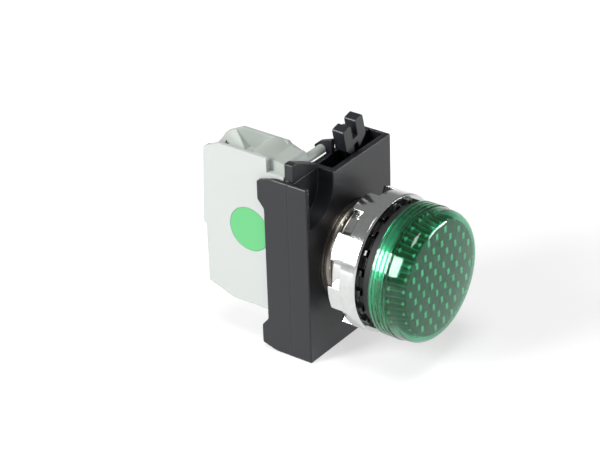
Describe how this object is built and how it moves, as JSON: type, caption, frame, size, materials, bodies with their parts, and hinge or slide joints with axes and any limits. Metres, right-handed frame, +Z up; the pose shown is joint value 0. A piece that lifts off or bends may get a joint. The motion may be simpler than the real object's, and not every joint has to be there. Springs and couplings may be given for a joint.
{
  "type": "panel pilot light",
  "caption": "Panel pilot light with a domed green lens, chromed head and castellated nut, clip-on adapter with a lock lever, and a light block hooked in behind.",
  "frame": {"origin": "on the lamp's axis, in the plane where the gasket meets the panel's front face", "axes": "+Y runs rearward along the lamp's axis, from the lens to the block; +Z is up as mounted, where the lever and ears are; +X is to the right as seen from the front"},
  "size_m": [0.03, 0.0518, 0.0488],
  "materials": {
    "lens_green": "clear green moulded plastic",
    "cup_green": "green prism moulding",
    "gasket_black": "matt",
    "head_chrome": "bright plated die-casting",
    "washer_chrome": "bright spring steel",
    "nut_chrome": "bright plated die-casting",
    "adapter_black": "fine grain",
    "frame_black": "fine grain",
    "lever_black": "satin",
    "block_grey": "satin",
    "block_cover_grey": "satin",
    "dot_green": "satin",
    "screw_steel": "zinc plated",
    "cage_steel": "zinc plated",
    "contact_brass": "bright",
    "board_tan": "bare laminate",
    "resistor_beige": "lacquered",
    "capacitor_can": "satin",
    "rectifier_black": "matt",
    "carrier_white": "satin",
    "lamp_board_white": "satin",
    "led_pale": "clear resin"
  },
  "bodies": {
    "head_and_adapter": {"head_body": "head_chrome", "panel_gasket": "gasket_black", "front_cover": "adapter_black", "rear_frame": "frame_black", "lamp_carrier": "carrier_white", "lamp_board": "lamp_board_white", "led_top": "led_pale", "led_left": "led_pale", "led_right": "led_pale", "supply_blade_upper": "contact_brass", "supply_blade_lower": "contact_brass"},
    "lens_cap": {"lens": "lens_green", "prism_cup": "cup_green"},
    "washer": {"lock_washer": "washer_chrome"},
    "nut": {"fixing_nut": "nut_chrome"},
    "lever": {"lock_lever": "lever_black"},
    "light_block": {"block_housing": "block_grey", "block_side_cover": "block_cover_grey", "colour_dot": "dot_green", "driver_board": "board_tan", "dropper_resistor": "resistor_beige", "smoothing_capacitor": "capacitor_can", "rectifier": "rectifier_black", "terminal_bar_upper": "contact_brass", "terminal_bar_lower": "contact_brass", "contact_spring_upper": "contact_brass", "contact_spring_lower": "contact_brass"},
    "screw_upper": {"terminal_screw_upper": "screw_steel"},
    "screw_lower": {"terminal_screw_lower": "screw_steel"},
    "cage_upper": {"wire_cage_upper": "cage_steel"},
    "cage_lower": {"wire_cage_lower": "cage_steel"}
  },
  "joints": [
    {"name": "lens_turn", "type": "hinge", "parent": "head_and_adapter", "child": "lens_cap", "pos_m": [0, -0.006, 0], "axis": [0, -1, 0], "range_deg": [0, 30]},
    {"name": "nut_travel", "type": "slide", "parent": "head_and_adapter", "child": "washer", "axis": [0, 1, 0], "range_m": [0, 0.0042]},
    {"name": "nut_turn", "type": "hinge", "parent": "washer", "child": "nut", "pos_m": [0, 0.004, 0], "axis": [0, 1, 0], "range_deg": [0, 1005]},
    {"name": "lever_turn", "type": "hinge", "parent": "head_and_adapter", "child": "lever", "pos_m": [0, 0.0152, 0], "axis": [0, 1, 0], "range_deg": [0, 14]},
    {"name": "block_swing", "type": "hinge", "parent": "head_and_adapter", "child": "light_block", "pos_m": [-0.0056, 0.0194, 0.0214], "axis": [1, 0, 0], "range_deg": [0, 25]},
    {"name": "screw_turn_upper", "type": "hinge", "parent": "light_block", "child": "screw_upper", "pos_m": [-0.00935, 0.036, 0.0154], "axis": [0, -1, 0], "range_deg": [0, 1155]},
    {"name": "cage_travel_upper", "type": "slide", "parent": "light_block", "child": "cage_upper", "axis": [0, 1, 0], "range_m": [0, 0.0016]},
    {"name": "screw_turn_lower", "type": "hinge", "parent": "light_block", "child": "screw_lower", "pos_m": [-0.00935, 0.036, -0.0066], "axis": [0, -1, 0], "range_deg": [0, 1155]},
    {"name": "cage_travel_lower", "type": "slide", "parent": "light_block", "child": "cage_lower", "axis": [0, 1, 0], "range_m": [0, 0.0016]}
  ],
  "couplings": [
    {"joint": "nut_travel", "follows": "nut_turn", "m_per_rad": 0.00023873},
    {"joint": "screw_turn_upper", "follows": "cage_travel_upper", "rad_per_m": 12566},
    {"joint": "screw_turn_lower", "follows": "cage_travel_lower", "rad_per_m": 12566}
  ]
}
